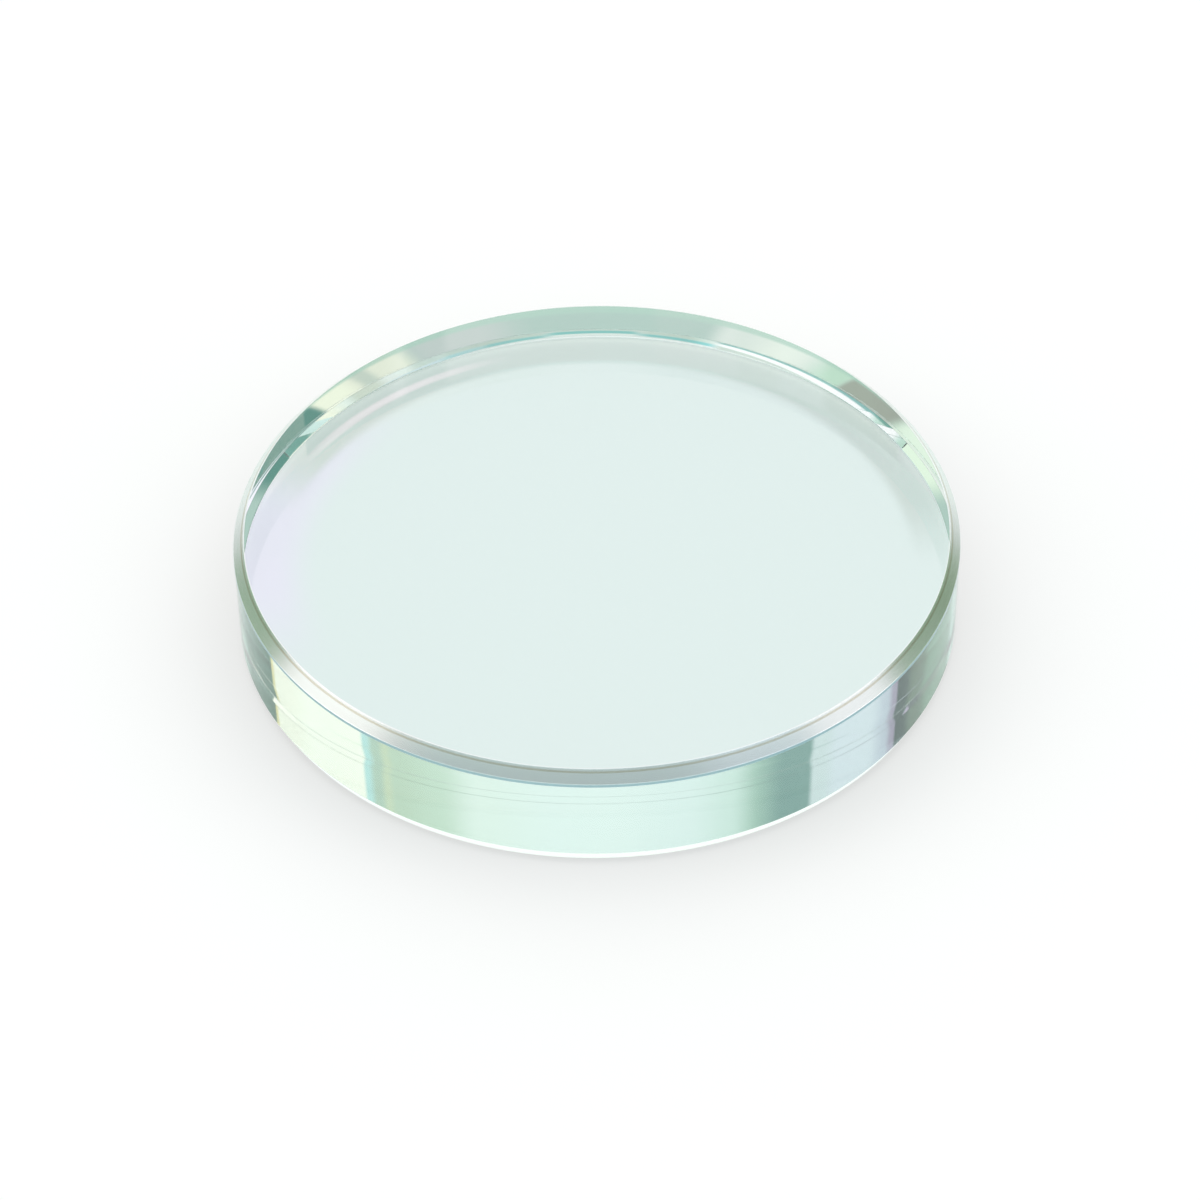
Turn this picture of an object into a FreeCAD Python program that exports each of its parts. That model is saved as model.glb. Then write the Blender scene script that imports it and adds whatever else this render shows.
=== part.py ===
import FreeCAD, Part
import math
import os

# Laser protective lens: a round, flat window of pale green optical glass.
# Both faces and the rim are polished. A protective bevel runs round the edge
# of each face, and polishing has softened every border line between surfaces.
# Frame: origin at the centre of the lower face, +Z along the optical axis.

# Driving dimensions, in millimetres and degrees
lens_diameter = 25.4        # across the rim
lens_thickness = 4.0        # from face to face
lower_bevel_height = 0.45   # how far the lower bevel reaches up the rim
upper_bevel_height = 0.38   # how far the upper bevel reaches down the rim
lower_bevel_angle = 26.0    # between the lower bevel and the optical axis
upper_bevel_angle = 45.0    # between the upper bevel and the optical axis
border_radius = 0.05        # softening of the lines where two surfaces meet

optical_axis = FreeCAD.Vector(0, 0, 1)
lower_face_centre = FreeCAD.Vector(0, 0, 0)


def bevel_inset(height, angle):
    """How far a bevel reaches inwards from the rim, across its face."""
    return height * math.tan(math.radians(angle))


def section_corners():
    """Sharp corners of the lens's half section, from the lower face to the upper one."""
    rim = lens_diameter / 2
    lower_flat = rim - bevel_inset(lower_bevel_height, lower_bevel_angle)
    upper_flat = rim - bevel_inset(upper_bevel_height, upper_bevel_angle)
    return [
        FreeCAD.Vector(0, 0, 0),
        FreeCAD.Vector(lower_flat, 0, 0),
        FreeCAD.Vector(rim, 0, lower_bevel_height),
        FreeCAD.Vector(rim, 0, lens_thickness - upper_bevel_height),
        FreeCAD.Vector(upper_flat, 0, lens_thickness),
        FreeCAD.Vector(0, 0, lens_thickness),
    ]


def softened_corner(before, corner, after):
    """Arc of border_radius that touches the straight runs on both sides of a corner."""
    arriving = (corner - before).normalize()
    leaving = (after - corner).normalize()
    half_turn = arriving.getAngle(leaving) / 2
    reach = border_radius * math.tan(half_turn)
    depth = border_radius / math.cos(half_turn) - border_radius
    inwards = (leaving - arriving).normalize()
    return Part.Arc(corner - arriving * reach, corner + inwards * depth, corner + leaving * reach)


def half_section():
    """Closed outline from the optical axis out to the rim and back, as a face."""
    corners = section_corners()
    edges = []
    run_start = corners[0]
    for before, corner, after in zip(corners, corners[1:], corners[2:]):
        arc = softened_corner(before, corner, after)
        edges.append(Part.LineSegment(run_start, arc.StartPoint).toShape())
        edges.append(arc.toShape())
        run_start = arc.EndPoint
    edges.append(Part.LineSegment(run_start, corners[-1]).toShape())
    edges.append(Part.LineSegment(corners[-1], corners[0]).toShape())
    return Part.Face(Part.Wire(edges))


def protective_lens():
    """The whole lens: its half section turned once about the optical axis."""
    return half_section().revolve(lower_face_centre, optical_axis, 360)


os.makedirs("parts", exist_ok=True)
protective_lens().exportStep("parts/protective_lens.step")
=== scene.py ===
import math

import bpy
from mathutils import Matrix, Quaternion, Vector


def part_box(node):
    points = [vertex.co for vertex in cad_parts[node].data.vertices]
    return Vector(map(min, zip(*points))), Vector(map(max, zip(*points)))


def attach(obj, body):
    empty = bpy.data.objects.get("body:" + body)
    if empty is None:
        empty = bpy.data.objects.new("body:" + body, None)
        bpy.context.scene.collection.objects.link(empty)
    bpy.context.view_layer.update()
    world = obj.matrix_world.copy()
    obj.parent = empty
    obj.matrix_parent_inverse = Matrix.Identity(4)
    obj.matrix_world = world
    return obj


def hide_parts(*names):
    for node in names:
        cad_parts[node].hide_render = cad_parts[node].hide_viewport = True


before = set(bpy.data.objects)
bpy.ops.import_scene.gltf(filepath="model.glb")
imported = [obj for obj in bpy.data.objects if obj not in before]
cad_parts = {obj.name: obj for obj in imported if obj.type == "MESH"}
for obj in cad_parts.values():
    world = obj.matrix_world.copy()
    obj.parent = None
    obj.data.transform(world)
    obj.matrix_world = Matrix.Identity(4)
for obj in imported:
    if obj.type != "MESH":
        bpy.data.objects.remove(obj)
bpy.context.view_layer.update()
lensLow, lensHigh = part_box("protective_lens")
print("scene: frame loaded")


def addNode(tree, kind, inputs=None, **settings):
    node = tree.nodes.new(kind)
    for name, value in settings.items():
        setattr(node, name, value)
    for socket, value in (inputs or {}).items():
        if isinstance(value, bpy.types.NodeSocket):
            tree.links.new(value, node.inputs[socket])
        else:
            node.inputs[socket].default_value = value
    return node


def mathNode(tree, operation, *values):
    return addNode(tree, "ShaderNodeMath", dict(enumerate(values)), operation=operation).outputs[0]


def wholeMath(tree, operation, *values):  # whole-number arithmetic, for rows and columns
    return addNode(tree, "FunctionNodeIntegerMath", dict(enumerate(values)), operation=operation).outputs[0]


# Glass disc
lensShape = {
    "lowerBevelHeight": 0.00045,  # metres
    "lowerBevelInset": 0.00022,
    "upperBevelHeight": 0.00038,
    "upperBevelInset": 0.00038,
    "borderRadius": 0.00005,      # polish on the lines where two surfaces meet
    "borderSteps": 6,             # facets in each polished border
    "segments": 900,              # facets round the rim
    "mergeDistance": 1e-7,
}


def latheTree():
    tree = bpy.data.node_groups.new("lensLathe", "GeometryNodeTree")
    sockets = {}
    lengths = ("Radius", "Thickness", "Lower Height", "Lower Inset", "Upper Height", "Upper Inset", "Border")
    kinds = [(name, "Float") for name in lengths]
    for name, kind in (*kinds, ("Steps", "Int"), ("Segments", "Int"), ("Glass", "Material")):
        made = tree.interface.new_socket(name, in_out="INPUT", socket_type="NodeSocket" + kind)
        sockets[name] = made.identifier
    tree.interface.new_socket("Geometry", in_out="OUTPUT", socket_type="NodeSocketGeometry")
    given = addNode(tree, "NodeGroupInput").outputs
    perBorder = wholeMath(tree, "ADD", given["Steps"], 1)
    rows = wholeMath(tree, "MULTIPLY_ADD", perBorder, 4, 2)
    columns = wholeMath(tree, "ADD", given["Segments"], 1)
    grid = addNode(tree, "GeometryNodeMeshGrid", {"Vertices X": columns, "Vertices Y": rows})
    index = addNode(tree, "GeometryNodeInputIndex").outputs[0]
    row = wholeMath(tree, "MODULO", index, rows)
    column = wholeMath(tree, "DIVIDE_FLOOR", index, rows)

    # each row belongs to one of the four borders, and the first and last row are the two poles
    lastRow = wholeMath(tree, "SUBTRACT", rows, 2)
    kept = wholeMath(tree, "MINIMUM", wholeMath(tree, "MAXIMUM", row, 1), lastRow)
    awayFromPole = addNode(tree, "FunctionNodeCompare", {2: row, 3: kept}, data_type="INT", operation="EQUAL")
    fromFirst = wholeMath(tree, "SUBTRACT", kept, 1)
    border = wholeMath(tree, "DIVIDE_FLOOR", fromFirst, perBorder)
    step = wholeMath(tree, "MODULO", fromFirst, perBorder)

    # where the four lines would be if they were sharp, and how the surfaces on both sides of them lean
    lowerLean = mathNode(tree, "ARCTAN2", given["Lower Inset"], given["Lower Height"])
    lowerLean = mathNode(tree, "MULTIPLY", lowerLean, -1.0)
    upperLean = mathNode(tree, "ARCTAN2", given["Upper Inset"], given["Upper Height"])
    lowerFlat = mathNode(tree, "SUBTRACT", given["Radius"], given["Lower Inset"])
    upperFlat = mathNode(tree, "SUBTRACT", given["Radius"], given["Upper Inset"])
    rimTop = mathNode(tree, "SUBTRACT", given["Thickness"], given["Upper Height"])
    lineOut = pick(tree, border, (lowerFlat, given["Radius"], given["Radius"], upperFlat))
    lineUp = pick(tree, border, (0.0, given["Lower Height"], rimTop, given["Thickness"]))
    leanBelow = pick(tree, border, (math.radians(-90), lowerLean, 0.0, upperLean))
    leanAbove = pick(tree, border, (lowerLean, 0.0, upperLean, math.radians(90)))
    turn = mathNode(tree, "SUBTRACT", leanAbove, leanBelow)
    halfTurn = mathNode(tree, "MULTIPLY", turn, 0.5)
    middleLean = mathNode(tree, "ADD", leanBelow, halfTurn)
    setBack = mathNode(tree, "DIVIDE", given["Border"], mathNode(tree, "COSINE", halfTurn))
    setBack = mathNode(tree, "MULTIPLY", setBack, -1.0)
    centreOut = mathNode(tree, "MULTIPLY_ADD", setBack, mathNode(tree, "COSINE", middleLean), lineOut)
    centreUp = mathNode(tree, "MULTIPLY_ADD", setBack, mathNode(tree, "SINE", middleLean), lineUp)
    lean = mathNode(tree, "MULTIPLY_ADD", mathNode(tree, "DIVIDE", step, given["Steps"]), turn, leanBelow)

    outward = mathNode(tree, "COSINE", lean)
    upward = mathNode(tree, "SINE", lean)
    reach = mathNode(tree, "MULTIPLY_ADD", outward, given["Border"], centreOut)
    reach = mathNode(tree, "MULTIPLY", reach, awayFromPole.outputs[0])
    height = mathNode(tree, "MULTIPLY_ADD", upward, given["Border"], centreUp)
    around = mathNode(tree, "MULTIPLY", mathNode(tree, "DIVIDE", column, given["Segments"]), math.tau)
    place = turnedVector(tree, reach, height, around)
    facing = turnedVector(tree, outward, upward, around)

    held = addNode(tree, "GeometryNodeCaptureAttribute", {"Geometry": grid.outputs["Mesh"]})
    held.capture_items.new("VECTOR", "Facing")
    tree.links.new(facing, held.inputs["Facing"])
    placed = addNode(tree, "GeometryNodeSetPosition", {
        "Geometry": held.outputs["Geometry"], "Position": place})
    closed = addNode(tree, "GeometryNodeMergeByDistance", {
        "Geometry": placed.outputs[0], "Distance": lensShape["mergeDistance"]})
    smooth = addNode(tree, "GeometryNodeSetShadeSmooth", {
        "Geometry": closed.outputs[0], "Shade Smooth": True})
    faced = addNode(tree, "GeometryNodeSetMeshNormal", mode="FREE", domain="POINT")
    tree.links.new(smooth.outputs[0], faced.inputs["Mesh"])
    tree.links.new(held.outputs["Facing"], faced.inputs["Custom Normal"])
    real = addNode(tree, "GeometryNodeRealizeInstances", {"Geometry": faced.outputs[0]})
    dressed = addNode(tree, "GeometryNodeSetMaterial", {
        "Geometry": real.outputs[0], "Material": given["Glass"]})
    addNode(tree, "NodeGroupOutput", {"Geometry": dressed.outputs[0]})
    return tree, sockets


def pick(tree, index, values):  # the value that stands at index in a short list
    switch = addNode(tree, "GeometryNodeIndexSwitch", data_type="FLOAT")
    while len(switch.index_switch_items) < len(values):
        switch.index_switch_items.new()
    tree.links.new(index, switch.inputs[0])
    for place, value in enumerate(values, 1):
        if isinstance(value, bpy.types.NodeSocket):
            tree.links.new(value, switch.inputs[place])
        else:
            switch.inputs[place].default_value = value
    return switch.outputs[0]


def turnedVector(tree, out, up, around):  # a vector in the half section, turned about the optical axis
    x = mathNode(tree, "MULTIPLY", out, mathNode(tree, "COSINE", around))
    y = mathNode(tree, "MULTIPLY", out, mathNode(tree, "SINE", around))
    return addNode(tree, "ShaderNodeCombineXYZ", {0: x, 1: y, 2: up}).outputs[0]


def makeLens(glass):
    tree, sockets = latheTree()
    blank = bpy.data.objects.new("lensBlank", bpy.data.meshes.new("lensBlank"))
    bpy.context.scene.collection.objects.link(blank)
    lathe = blank.modifiers.new("lathe", "NODES")
    lathe.node_group = tree
    values = {
        "Radius": (lensHigh.x - lensLow.x) / 2,
        "Thickness": lensHigh.z - lensLow.z,
        "Lower Height": lensShape["lowerBevelHeight"],
        "Lower Inset": lensShape["lowerBevelInset"],
        "Upper Height": lensShape["upperBevelHeight"],
        "Upper Inset": lensShape["upperBevelInset"],
        "Border": lensShape["borderRadius"],
        "Steps": lensShape["borderSteps"],
        "Segments": lensShape["segments"],
        "Glass": glass,
    }
    for name, value in values.items():
        lathe[sockets[name]] = value
    depsgraph = bpy.context.evaluated_depsgraph_get()
    mesh = bpy.data.meshes.new_from_object(blank.evaluated_get(depsgraph), depsgraph=depsgraph)
    bpy.data.objects.remove(blank)
    lens = bpy.data.objects.new("glass_disc", mesh)
    bpy.context.scene.collection.objects.link(lens)
    return lens


# Glass
glassFinish = {
    "ior": 1.75,
    "absorbed": (0.0, 0.83, 0.66),    # colour that the glass lets through best
    "density": 12.8,                  # per metre
    "bevelRoughness": 0.22,           # the upper bevel is ground, the rest is polished
    "lowerRoughness": 0.10,
    "shortWay": 0.008,                # metres; light from the face reaches the lower bevel in less
    "nearWay": 0.0016,                # and light from the rim in less than this
    "sideAzimuth": 63,                # degrees; the lower bevel shows itself only behind the middle
    "sideEdge": 0.3,
    "leanAzimuth": 7.9,               # and beyond this what comes up across the disc leaves a little higher
    "leanEdge": 0.3,
    "lean": 0.052,
    "bevelSilver": 0.5,               # share of the upper bevel that mirrors the studio
    "borderSilver": 0.9,              # the same of its two polished borders
    "bevelColour": (0.96, 0.98, 0.98, 1),
    # painted reflection lines along the upper bevel: heights, colour
    "topReflectLine": (0.00389, 0.00394, (0.74, 0.70, 0.60, 1)),
    "footReflectLine": (0.00351, 0.00362, (0.34, 0.52, 0.56, 1)),
    "maskEdge": 0.00001,
}


def rangeMask(tree, value, low, high):  # 0 at low, 1 at high
    return addNode(tree, "ShaderNodeMapRange", {
        "Value": value, "From Min": low, "From Max": high}, interpolation_type="SMOOTHSTEP").outputs[0]


def softStep(tree, value, centre, edge):  # 0 below the centre, 1 above it
    return rangeMask(tree, value, centre - edge, centre + edge)


def softBand(tree, value, low, high, edge):  # 1 between low and high
    inside = mathNode(tree, "SUBTRACT", softStep(tree, value, low, edge), softStep(tree, value, high, edge))
    return mathNode(tree, "MAXIMUM", inside, 0.0)


def mixColours(tree, share, first, second):
    mix = addNode(tree, "ShaderNodeMix", data_type="RGBA")
    for socket, value in ((0, share), (6, first), (7, second)):
        if isinstance(value, bpy.types.NodeSocket):
            tree.links.new(value, mix.inputs[socket])
        else:
            mix.inputs[socket].default_value = value
    return mix.outputs[2]


def polarPlace(tree):  # distance from the optical axis, azimuth in degrees (0 behind, + right) and height
    place = addNode(tree, "ShaderNodeTexCoord").outputs["Object"]
    axes = addNode(tree, "ShaderNodeSeparateXYZ", {0: place}).outputs
    outSquared = mathNode(tree, "MULTIPLY", axes[1], axes[1])
    outSquared = mathNode(tree, "MULTIPLY_ADD", axes[0], axes[0], outSquared)
    azimuth = mathNode(tree, "DEGREES", mathNode(tree, "ARCTAN2", axes[0], axes[1]))
    return mathNode(tree, "SQRT", outSquared), azimuth, axes[2]


# 1 on: the upper bevel with its borders, its ground middle, the lower bevel, the two painted reflection lines
def bevelMasks(tree):
    out, _, height = polarPlace(tree)
    edge = glassFinish["maskEdge"]
    flat = lensHigh.x - lensShape["upperBevelInset"] + edge
    high = lensHigh.z - lensShape["upperBevelHeight"] + edge
    low = lensLow.z + lensShape["lowerBevelHeight"]
    beyondFace = rangeMask(tree, out, flat - 4 * edge, flat - 2 * edge)
    above = mathNode(tree, "MULTIPLY", beyondFace, rangeMask(tree, height, high - 3 * edge, high - edge))
    ground = rangeMask(tree, out, flat, flat + edge)
    for mask in (
        rangeMask(tree, height, high, high + edge),
        rangeMask(tree, height, lensHigh.z - edge, lensHigh.z - 2 * edge),
        rangeMask(tree, out, lensHigh.x - edge, lensHigh.x - 2 * edge),
    ):
        ground = mathNode(tree, "MULTIPLY", ground, mask)
    below = rangeMask(tree, height, low, low - edge)
    below = mathNode(tree, "MULTIPLY", below, rangeMask(tree, height, 0.0, edge))
    beside = rangeMask(tree, out, flat + edge, flat + 3 * edge)
    lines = []
    for name in ("topReflectLine", "footReflectLine"):
        start, end = glassFinish[name][:2]
        lines.append(mathNode(tree, "MULTIPLY", beside, softBand(tree, height, start, end, edge)))
    return above, ground, below, lines


def opticalGlass():
    material = bpy.data.materials.new("mintOpticalGlass")
    material.use_nodes = True
    tree = material.node_tree
    tree.nodes.clear()
    above, ground, below, (topReflectLine, footReflectLine) = bevelMasks(tree)
    geometry = addNode(tree, "ShaderNodeNewGeometry").outputs
    inner = geometry["Backfacing"]
    outer = mathNode(tree, "SUBTRACT", 1.0, inner)
    rough = mathNode(tree, "MULTIPLY", ground, glassFinish["bevelRoughness"])
    belowOutside = mathNode(tree, "MULTIPLY", below, outer)
    rough = mathNode(tree, "MULTIPLY_ADD", belowOutside, glassFinish["lowerRoughness"], rough)
    silver = mathNode(tree, "MULTIPLY", ground, glassFinish["bevelSilver"] - glassFinish["borderSilver"])
    silver = mathNode(tree, "MULTIPLY_ADD", above, glassFinish["borderSilver"], silver)
    footSilver = mathNode(tree, "MULTIPLY", footReflectLine, glassFinish["borderSilver"])
    silver = mathNode(tree, "MAXIMUM", silver, footSilver)
    silver = mathNode(tree, "MULTIPLY", silver, outer)
    # dark painted reflection lines in the bevel's colour, one near its top and one at its foot
    tone = mixColours(tree, topReflectLine, glassFinish["bevelColour"], glassFinish["topReflectLine"][2])
    tone = mixColours(tree, mathNode(tree, "MULTIPLY", footReflectLine, outer), tone, glassFinish["footReflectLine"][2])
    # light that comes across the disc meets the lower bevel as if the rim ran down to the face
    path = addNode(tree, "ShaderNodeLightPath").outputs
    inBevel = mathNode(tree, "MULTIPLY", below, inner)
    out, azimuth, _ = polarPlace(tree)
    fromMiddle = mathNode(tree, "ABSOLUTE", azimuth)
    beside = softStep(tree, fromMiddle, glassFinish["sideAzimuth"], glassFinish["sideEdge"])
    middle = mathNode(tree, "SUBTRACT", 1.0, beside)
    short = mathNode(tree, "LESS_THAN", path["Ray Length"], glassFinish["shortWay"])
    short = mathNode(tree, "MULTIPLY", middle, mathNode(tree, "MULTIPLY", path["Is Transmission Ray"], short))
    across = mathNode(tree, "MULTIPLY", mathNode(tree, "SUBTRACT", 1.0, short), inBevel)
    # and what the rim has just turned down passes it, as if the face ran out to the rim
    once = mathNode(tree, "COMPARE", path["Glossy Depth"], 1.0, 0.5)
    near = mathNode(tree, "LESS_THAN", path["Ray Length"], glassFinish["nearWay"])
    passing = mathNode(tree, "MULTIPLY", mathNode(tree, "MULTIPLY", once, near), inBevel)
    passing = mathNode(tree, "MULTIPLY", passing, path["Is Glossy Ray"])
    # that rim's normal points straight inwards, and leans for light that the rim has turned three times:
    # otherwise it would leave below the real bevel, where Cycles drops it, and the rim would show a black bar
    place = addNode(tree, "ShaderNodeTexCoord").outputs["Object"]
    aside = softStep(tree, fromMiddle, glassFinish["leanAzimuth"], glassFinish["leanEdge"])
    rising = mathNode(tree, "MULTIPLY", aside, mathNode(tree, "COMPARE", path["Glossy Depth"], 3.0, 0.5))
    drop = mathNode(tree, "MULTIPLY", mathNode(tree, "MULTIPLY", rising, out), -glassFinish["lean"])
    inwards = addNode(tree, "ShaderNodeVectorMath", {
        0: place, 1: (-1, -1, 0)}, operation="MULTIPLY").outputs[0]
    downwards = addNode(tree, "ShaderNodeCombineXYZ", {2: drop}).outputs[0]
    leaning = addNode(tree, "ShaderNodeVectorMath", {0: inwards, 1: downwards}, operation="ADD").outputs[0]
    leaning = addNode(tree, "ShaderNodeVectorMath", {0: leaning}, operation="NORMALIZE").outputs[0]
    facing = addNode(tree, "ShaderNodeMix", {
        0: across, 4: geometry["Normal"], 5: leaning}, data_type="VECTOR").outputs[1]
    surface = addNode(tree, "ShaderNodeBsdfPrincipled", {
        "Base Color": tone, "Metallic": silver, "Roughness": rough,
        "IOR": glassFinish["ior"], "Transmission Weight": 1.0, "Normal": facing})
    clear = addNode(tree, "ShaderNodeBsdfTransparent")
    surface = addNode(tree, "ShaderNodeMixShader", {0: passing, 1: surface.outputs[0], 2: clear.outputs[0]})
    inside = addNode(tree, "ShaderNodeVolumeAbsorption", {
        "Color": (*glassFinish["absorbed"], 1), "Density": glassFinish["density"]})
    addNode(tree, "ShaderNodeOutputMaterial", {"Surface": surface.outputs[0], "Volume": inside.outputs[0]})
    return material


lens = makeLens(opticalGlass())
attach(lens, "root")
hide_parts("protective_lens")
print("scene: lens made,", len(lens.data.vertices), "vertices,", len(lens.data.polygons), "faces")


# Floor
floorLook = {
    "halfSize": 3.0,
    "colour": (0.55, 0.55, 0.55, 1),
    # white that the camera, mirrors and glass see besides the lit floor, and right under the lens
    # a painted glow that stands in for the light and shade that have come through it
    "lift": (0.50, 0.49, 0.484, 1),
    "underGlass": (0.737, 0.816, 0.803, 1),
    "underEnd": 0.01263,
    "underEdge": 0.00003,
    # painted reflection, shade and light under the lens: a lavender reflection of a soft box in the face, a
    # ring of shade inside the rim and a pale arc of light
    "paintedLightAndShadeRings": (
        # radius from, edge, to, edge; azimuth from, to, edge; colour
        (0.01055, 0.0008, 0.0150, 0.0001, -108, -50, 14, (0.80, 0.765, 0.885, 1)),
        (0.01120, 0.00025, 0.0150, 0.0001, -68, 84, 10, (0.58, 0.65, 0.62, 1)),
        (0.01175, 0.00008, 0.01206, 0.00008, -58, -24, 10, (0.86, 0.79, 0.81, 1)),
    ),
    "holeRadius": 0.00001,                # the floor has no pole
    "recessRadius": 0.01252,
    "recessShift": 0.00008,               # the recess and its ribs lie this far back
    "recessDepth": 0.00015,
    "clearance": 0.00001,
}


def ringMesh(name, radii, heights, halfTurn=180, sides=256, shift=0.0):  # a turned section with no poles
    whole = halfTurn == 180
    columns = sides if whole else sides + 1
    turns = [math.radians(halfTurn) * (2 * k / sides - 1) for k in range(columns)]
    points = [(r * math.sin(turn), r * math.cos(turn) + shift, z)
              for r, z in zip(radii, heights) for turn in turns]
    faces = []
    for ring in range(len(radii) - 1):
        for k in range(sides):
            here, there = ring * columns + k, ring * columns + (k + 1) % columns
            faces.append((here, there, there + columns, here + columns))
    mesh = bpy.data.meshes.new(name)
    mesh.from_pydata(points, [], faces)
    made = bpy.data.objects.new(name, mesh)
    bpy.context.scene.collection.objects.link(made)
    return made


def makeFloor():
    top = -floorLook["clearance"]
    low = top - floorLook["recessDepth"]
    edge = floorLook["recessRadius"]
    radii = (floorLook["holeRadius"], edge, edge, floorLook["halfSize"])
    floor = ringMesh("floor", radii, (low, low, top, top), shift=floorLook["recessShift"])
    material = bpy.data.materials.new("floorWhite")
    material.use_nodes = True
    tree = material.node_tree
    tree.nodes.clear()
    paper = addNode(tree, "ShaderNodeBsdfDiffuse", {"Color": floorLook["colour"]})
    path = addNode(tree, "ShaderNodeLightPath").outputs
    byGlass = mathNode(tree, "MAXIMUM", path["Is Glossy Ray"], path["Is Transmission Ray"])
    seen = mathNode(tree, "MAXIMUM", path["Is Camera Ray"], byGlass)
    out, azimuth, _ = polarPlace(tree)
    # painted glow under the lens, which the painted rings below tint, shade and brighten
    under = floorLook["underGlass"]
    # each ring mixes its painted reflection, shade or light into the glow
    for first, firstEdge, last, lastEdge, fromAz, toAz, azEdge, colour in floorLook["paintedLightAndShadeRings"]:
        ring = softStep(tree, out, first, firstEdge)
        ring = mathNode(tree, "SUBTRACT", ring, softStep(tree, out, last, lastEdge))
        beside = softBand(tree, azimuth, fromAz, toAz, azEdge)
        under = mixColours(tree, mathNode(tree, "MULTIPLY", ring, beside), under, colour)
    outside = softStep(tree, out, floorLook["underEnd"], floorLook["underEdge"])
    beyond = mathNode(tree, "MAXIMUM", path["Is Camera Ray"], outside)
    underGlow = addNode(tree, "ShaderNodeEmission", {"Color": under, "Strength": 1.0})
    liftGlow = addNode(tree, "ShaderNodeEmission", {"Color": floorLook["lift"], "Strength": 1.0})
    glow = addNode(tree, "ShaderNodeMixShader", {0: beyond, 1: underGlow.outputs[0], 2: liftGlow.outputs[0]})
    both = addNode(tree, "ShaderNodeAddShader", {0: paper.outputs[0], 1: glow.outputs[0]})
    surface = addNode(tree, "ShaderNodeMixShader", {0: seen, 1: paper.outputs[0], 2: both.outputs[0]})
    addNode(tree, "ShaderNodeOutputMaterial", {"Surface": surface.outputs[0]})
    material.cycles.emission_sampling = "NONE"
    floor.data.materials.append(material)


makeFloor()


# Fine ribs in the floor under the border, a painted reflection: only what the rim mirrors on its inner side
# falls on their outer faces, which glow in its painted colours
ribLook = {
    "first": 0.0107,
    "last": 0.01249,
    "count": 30,
    "halfTurn": 89,         # they stand behind the middle only
    "base": (0.40, 0.57, 0.50, 1),
    "patches": (
        # azimuth from, to, edges; colour
        (-31, -14, 4, 5, (0.56, 0.62, 0.59)),
        (-50, -31, 1, 2, (0.88, 0.90, 0.74)),
        (-50, -42.5, 1, 2, (1.02, 1.04, 0.83)),
        (-41, -38, 1, 1, (0.60, 0.68, 0.58)),
        (-72, -50, 4, 1, (0.05, 0.24, 0.19)),
        (20, 44, 2, 2, (0.72, 0.80, 0.73)),
        (28, 36, 4, 4, (0.86, 0.92, 0.82)),
        (38, 44, 3, 1, (0.54, 0.77, 0.60)),
        (44, 57, 0.7, 2, (0.34, 0.38, 0.31)),
        (57, 75, 2, 4, (0.80, 0.95, 0.76)),
    ),
    "lineColour": (0.42, 0.65, 0.53, 1),
    "lineHeight": 2.75,     # in the part's millimetres up the rim
    "lineEdge": 0.15,
    "lineShare": 0.8,
    "topShare": 1.3,        # of the floor's clearance
    "depthShare": 0.97,     # of the recess
    "perMillimetre": 0.000468,  # how much further in a rib shows for each millimetre up the rim, behind
    "leastFall": 0.0001,
}


def makeRibs():
    top = -floorLook["clearance"] * ribLook["topShare"]
    low = -floorLook["clearance"] - floorLook["recessDepth"] * ribLook["depthShare"]
    material = bpy.data.materials.new("ribPaintedReflection")
    material.use_nodes = True
    tree = material.node_tree
    tree.nodes.clear()
    out, azimuth, _ = polarPlace(tree)
    # painted reflection of the rear rim, in patches round the azimuth and a line part way up
    colour = ribLook["base"]
    for fromAz, toAz, fromEdge, toEdge, tint in ribLook["patches"]:
        share = mathNode(tree, "MULTIPLY", softStep(tree, azimuth, fromAz, fromEdge),
                         mathNode(tree, "SUBTRACT", 1.0, softStep(tree, azimuth, toAz, toEdge)))
        colour = mixColours(tree, share, colour, (*tint, 1))
    # the ribs further in show what is higher up the rim
    behind = mathNode(tree, "COSINE", mathNode(tree, "RADIANS", azimuth))
    fall = mathNode(tree, "MULTIPLY", behind, ribLook["perMillimetre"])
    fall = mathNode(tree, "MAXIMUM", fall, ribLook["leastFall"])
    risen = mathNode(tree, "DIVIDE", mathNode(tree, "SUBTRACT", lensHigh.x, out), fall)
    line = softStep(tree, risen, ribLook["lineHeight"], ribLook["lineEdge"])
    line = mathNode(tree, "MULTIPLY", line, ribLook["lineShare"])
    colour = mixColours(tree, line, colour, ribLook["lineColour"])
    inner = addNode(tree, "ShaderNodeNewGeometry").outputs["Backfacing"]
    tint = addNode(tree, "ShaderNodeEmission", {"Color": colour, "Strength": 1.0})
    clear = addNode(tree, "ShaderNodeBsdfTransparent")
    both = addNode(tree, "ShaderNodeMixShader", {0: inner, 1: tint.outputs[0], 2: clear.outputs[0]})
    addNode(tree, "ShaderNodeOutputMaterial", {"Surface": both.outputs[0]})
    material.cycles.emission_sampling = "NONE"
    for k in range(ribLook["count"]):
        radius = ribLook["first"] + (ribLook["last"] - ribLook["first"]) * k / (ribLook["count"] - 1)
        rib = ringMesh("rib", (radius, radius), (top, low), ribLook["halfTurn"],
                       shift=floorLook["recessShift"])
        rib.data.materials.append(material)
        rib.visible_camera = rib.visible_diffuse = rib.visible_shadow = False


makeRibs()


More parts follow.
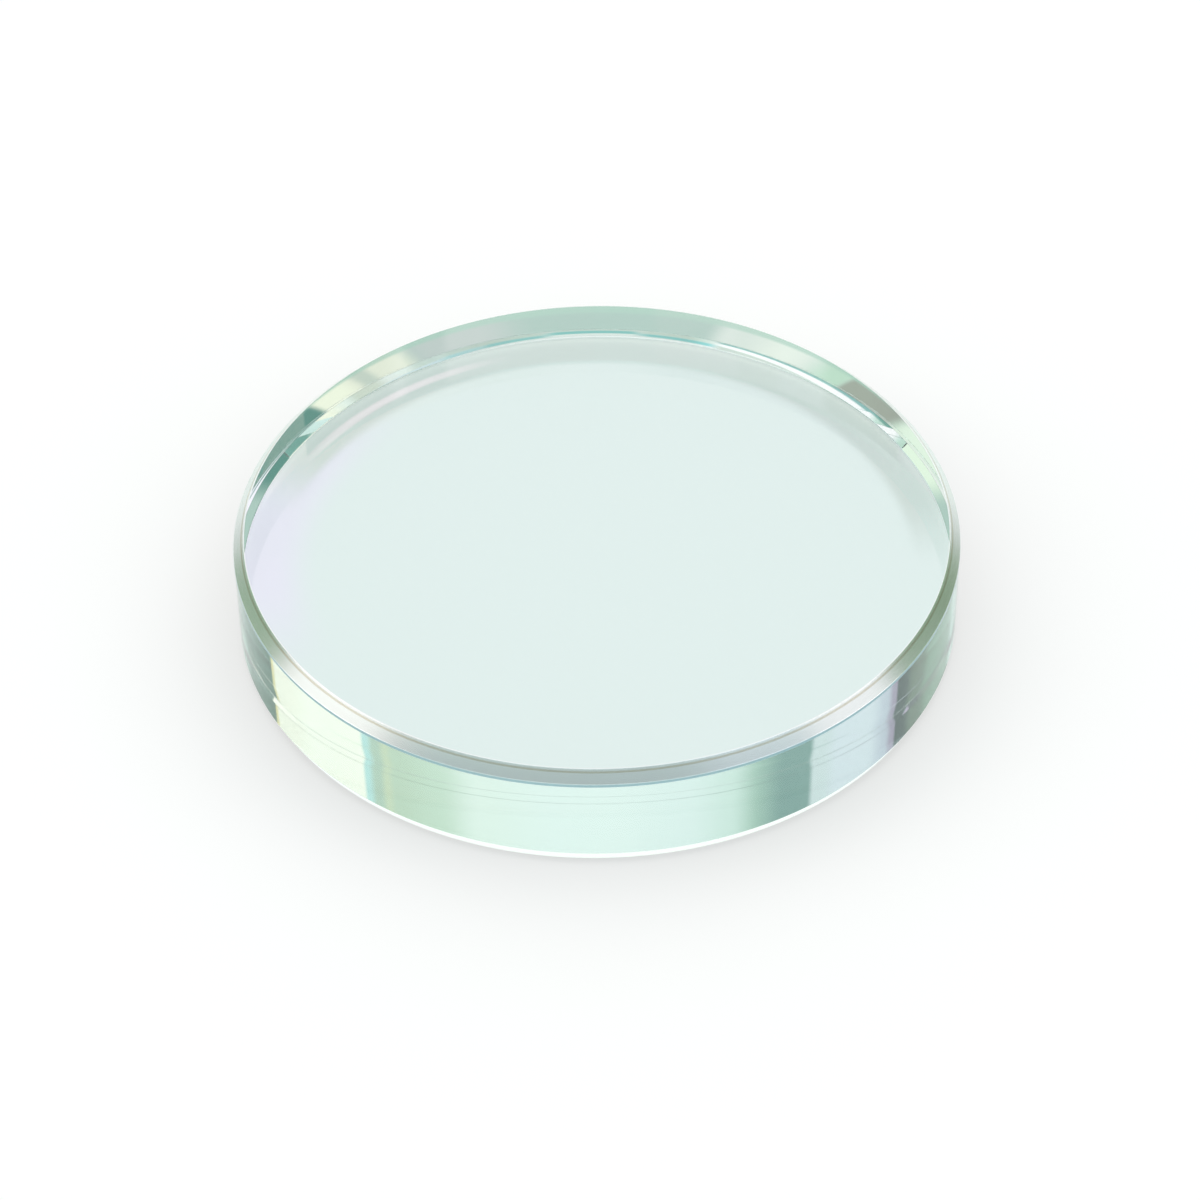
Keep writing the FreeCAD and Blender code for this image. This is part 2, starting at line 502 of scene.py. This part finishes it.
# Studio: soft boxes and flags all round, as patches of sky
# (degrees; azimuth 0 is behind the lens, + to the right)
studioLight = {
    "base": (0.98, 0.98, 0.98),
    # azimuth from, to, edge; elevation from, to, edge; colour
    "mirrored": (
        (-190, -120, 8, 0, 80, 8, (0.72, 0.86, 0.85)),
        (114, 190, 8, 0, 80, 8, (0.72, 0.86, 0.86)),
        (108, 146, 6, 10, 60, 8, (0.95, 1.07, 1.13)),
        (88, 114, 4, 12, 42, 4, (1.62, 1.60, 1.62)),
        (-112, -80, 4, 12, 42, 4, (1.75, 1.72, 1.68)),
        (44, 87, 3, -5, 30, 4, (0.34, 0.48, 0.30)),
        (-77, -44, 3, -5, 26, 4, (0.33, 0.50, 0.33)),
    ),
    "beforeScreens": (1.05, 1.05, 1.05),
    # screens behind the lens, from left to right: azimuth where each begins, edge, colour
    "screens": (
        (-100, 3, (0.30, 0.41, 0.30)),
        (-79, 3, (0.17, 0.20, 0.15)),
        (-70.5, 2, (0.04, 0.06, 0.07)),
        (-65, 0.6, (0.50, 0.34, 0.50)),
        (-62.5, 1.2, (0.72, 0.63, 0.77)),
        (-58, 3, (0.94, 0.83, 0.93)),
        (-44.5, 2, (0.86, 0.79, 0.83)),
        (-39.7, 0.8, (0.22, 0.33, 0.31)),
        (-30, 4, (0.50, 0.60, 0.51)),
        (-25.5, 3, (0.88, 0.88, 0.83)),
        (-19, 5, (1.05, 0.97, 0.97)),
        (-8, 8, (1.13, 1.02, 1.01)),
        (14, 8, (1.10, 1.00, 0.94)),
        (25, 4, (0.80, 0.81, 0.67)),
        (33, 5, (0.71, 0.72, 0.56)),
        (39.3, 1, (0.82, 0.76, 0.54)),
        (41.2, 1, (0.61, 0.65, 0.53)),
        (44, 1, (0.67, 0.85, 0.84)),
        (46, 0.6, (1.42, 1.15, 1.02)),
        (66, 12, (1.58, 1.29, 1.12)),
        (77.2, 0.5, (1.30, 0.95, 0.43)),
        (78.6, 0.5, (0.02, 0.13, 0.08)),
        (112, 6, (1.05, 1.00, 1.01)),
    ),
    "throughGlass": (
        (-78, 78, 3, 4, 16.5, 1.5, (1.52, 1.22, 1.20)),
        (116, 134, 3, 12, 35, 1, (1.42, 1.10, 0.95)),
        (134, 150, 3, 12, 35, 1, (1.18, 0.98, 0.97)),
        (150, 190, 6, 12, 35, 1, (1.06, 0.86, 0.87)),
        (-190, -160, 3, 12, 35, 1, (1.06, 0.86, 0.87)),
        (-160, -118, 3, 12, 38, 1, (1.60, 1.20, 1.28)),
        (-133, -118, 2, 38, 41, 1, (0.80, 0.85, 0.75)),
        (-133, -118, 2, 41, 47, 1, (1.20, 1.15, 1.00)),
        (116, 131, 2, 35, 47, 1, (0.16, 0.36, 0.32)),
        (-160, -134, 3, 39.5, 50, 1.5, (0.15, 0.25, 0.20)),
        (134, 162, 3, 39.5, 50, 1.5, (0.15, 0.25, 0.20)),
        (72.4, 94, 0.5, 36, 40.4, 0.6, (0.02, 0.16, 0.10)),
    ),
}


def skyPlace(tree):  # azimuth and elevation in degrees
    direction = addNode(tree, "ShaderNodeTexCoord").outputs["Generated"]
    axes = addNode(tree, "ShaderNodeSeparateXYZ", {0: direction}).outputs
    azimuth = mathNode(tree, "DEGREES", mathNode(tree, "ARCTAN2", axes[0], axes[1]))
    return azimuth, mathNode(tree, "DEGREES", mathNode(tree, "ARCSINE", axes[2]))


def patchedSky(tree, azimuth, elevation, colour, patches):
    for fromAz, toAz, azEdge, fromEl, toEl, elEdge, light in patches:
        wide = softBand(tree, azimuth, fromAz, toAz, azEdge)
        tall = softBand(tree, elevation, fromEl, toEl, elEdge)
        colour = mixColours(tree, mathNode(tree, "MULTIPLY", wide, tall), colour, (*light, 1))
    return colour


def makeWorld():
    world = bpy.data.worlds.new("studio")
    bpy.context.scene.world = world
    world.use_nodes = True
    tree = world.node_tree
    tree.nodes.clear()
    azimuth, elevation = skyPlace(tree)
    plainSky = (*studioLight["base"], 1)
    mirrored = patchedSky(tree, azimuth, elevation, plainSky, studioLight["mirrored"])
    screens = (*studioLight["beforeScreens"], 1)
    for start, edge, light in studioLight["screens"]:
        screens = mixColours(tree, softStep(tree, azimuth, start, edge), screens, (*light, 1))
    through = patchedSky(tree, azimuth, elevation, screens, studioLight["throughGlass"])
    path = addNode(tree, "ShaderNodeLightPath").outputs
    cameThrough = mathNode(tree, "GREATER_THAN", path["Transmission Depth"], 0.5)
    # two lights and not two colours, so that each ray works out only its own sky
    mirroredLight = addNode(tree, "ShaderNodeBackground", {"Color": mirrored, "Strength": 1.0})
    throughLight = addNode(tree, "ShaderNodeBackground", {"Color": through, "Strength": 1.0})
    lit = addNode(tree, "ShaderNodeMixShader", {
        0: cameThrough, 1: mirroredLight.outputs[0], 2: throughLight.outputs[0]})
    plain = addNode(tree, "ShaderNodeBackground", {"Color": (1, 1, 1, 1), "Strength": 1.0})
    both = addNode(tree, "ShaderNodeMixShader", {
        0: path["Is Camera Ray"], 1: lit.outputs[0], 2: plain.outputs[0]})
    addNode(tree, "ShaderNodeOutputWorld", {"Surface": both.outputs[0]})


makeWorld()


# Mirror sheet on the floor: only light that has been through the glass meets it
sheetLook = {
    "start": 0.012455,
    "reach": 0.09,
    # its painted reflection lines follow where the foot of the rear rim is seen, a ring with a bulge in front
    "ringRadius": 0.02228,
    "ringBend": (409.6, -1.579, 0.0786),
    "lineEdge": 0.00006,
    "lines": (
        # azimuth from, to, edges; metres in from the ring, from, to; colour
        (104, 117, 3, -0.002, 0.0005, (0.77, 0.79, 0.71)),
        (128, 138, 3, -0.002, 0.0005, (0.71, 0.77, 0.73)),
        (104, 138, 3, 0.0005, 0.003, (0.76, 0.84, 0.93)),
        (138, 168, 3, -0.002, 0.0004, (0.68, 0.76, 0.70)),
        (138, 150, 3, 0.0004, 0.00080, (0.50, 0.77, 0.80)),
        (150, 168, 3, 0.0004, 0.00080, (0.30, 0.66, 0.66)),
        (168, 190, 3, -0.002, 0.00012, (0.68, 0.76, 0.70)),
        (-190, -168, 3, -0.002, 0.00012, (0.68, 0.76, 0.70)),
        (168, 190, 3, 0.00012, 0.00055, (0.23, 0.64, 0.62)),
        (-190, -168, 3, 0.00012, 0.00055, (0.23, 0.64, 0.62)),
        (-168, -147, 3, -0.002, 0.0004, (0.68, 0.76, 0.70)),
        (-168, -147, 3, 0.0004, 0.00080, (0.25, 0.64, 0.65)),
        (-147, -76, 2, -0.002, 0.00012, (0.20, 0.45, 0.42)),
        (-147, -76, 2, 0.00045, 0.003, (0.58, 0.66, 0.60)),
    ),
}


def makeSheet():
    sheet = ringMesh("gloss_sheet", (sheetLook["start"], sheetLook["reach"]), (0, 0))
    material = bpy.data.materials.new("glossSheet")
    material.use_nodes = True
    tree = material.node_tree
    tree.nodes.clear()
    out, azimuth, _ = polarPlace(tree)
    fromFront = mathNode(tree, "SUBTRACT", 180.0, mathNode(tree, "ABSOLUTE", azimuth))
    squared = mathNode(tree, "MULTIPLY", fromFront, fromFront)
    whole, first, second = sheetLook["ringBend"]
    bend = mathNode(tree, "MULTIPLY_ADD", fromFront, first, whole)
    bend = mathNode(tree, "MULTIPLY_ADD", squared, second, bend)
    bulge = mathNode(tree, "DIVIDE", squared, bend)  # millimetres
    ring = mathNode(tree, "MULTIPLY_ADD", bulge, -0.001, sheetLook["ringRadius"])
    within = mathNode(tree, "SUBTRACT", ring, out)
    # painted reflection lines tint what the sheet mirrors
    colour = (1, 1, 1, 1)
    for fromAz, toAz, azEdge, start, end, tint in sheetLook["lines"]:
        share = mathNode(tree, "MULTIPLY", softBand(tree, azimuth, fromAz, toAz, azEdge),
                         softBand(tree, within, start, end, sheetLook["lineEdge"]))
        colour = mixColours(tree, share, colour, (*tint, 1))
    gloss = addNode(tree, "ShaderNodeBsdfAnisotropic", {"Color": colour, "Roughness": 0.0})
    addNode(tree, "ShaderNodeOutputMaterial", {"Surface": gloss.outputs[0]})
    sheet.data.materials.append(material)
    sheet.visible_camera = sheet.visible_diffuse = sheet.visible_shadow = sheet.visible_glossy = False


makeSheet()


# Camera
cameraView = {
    "lensMm": 115.0,
    "sensorMm": 36,
    "clip": (0.005, 20),
    "distance": 0.13655,
    "elevation": 42.03,
    "roll": -0.82,
    "aim": (0.00008, 0, 0.00031),
}


def makeCamera():
    data = bpy.data.cameras.new("camera")
    data.lens = cameraView["lensMm"]
    data.sensor_width = cameraView["sensorMm"]
    data.clip_start, data.clip_end = cameraView["clip"]
    camera = bpy.data.objects.new("camera", data)
    bpy.context.scene.collection.objects.link(camera)
    rise = math.radians(cameraView["elevation"])
    camera.location = Vector((0, -math.cos(rise), math.sin(rise))) * cameraView["distance"]
    sight = (Vector(cameraView["aim"]) - camera.location).to_track_quat("-Z", "Y")
    camera.rotation_mode = "QUATERNION"
    camera.rotation_quaternion = sight @ Quaternion((0, 0, 1), math.radians(cameraView["roll"]))
    bpy.context.scene.camera = camera


makeCamera()
scene = bpy.context.scene
scene.view_settings.view_transform = "Standard"
scene.cycles.blur_glossy = 0
scene.cycles.caustics_refractive = False
bounces = 14
scene.cycles.max_bounces = bounces
scene.cycles.transmission_bounces = bounces
scene.cycles.glossy_bounces = bounces
print("scene: camera and light set")
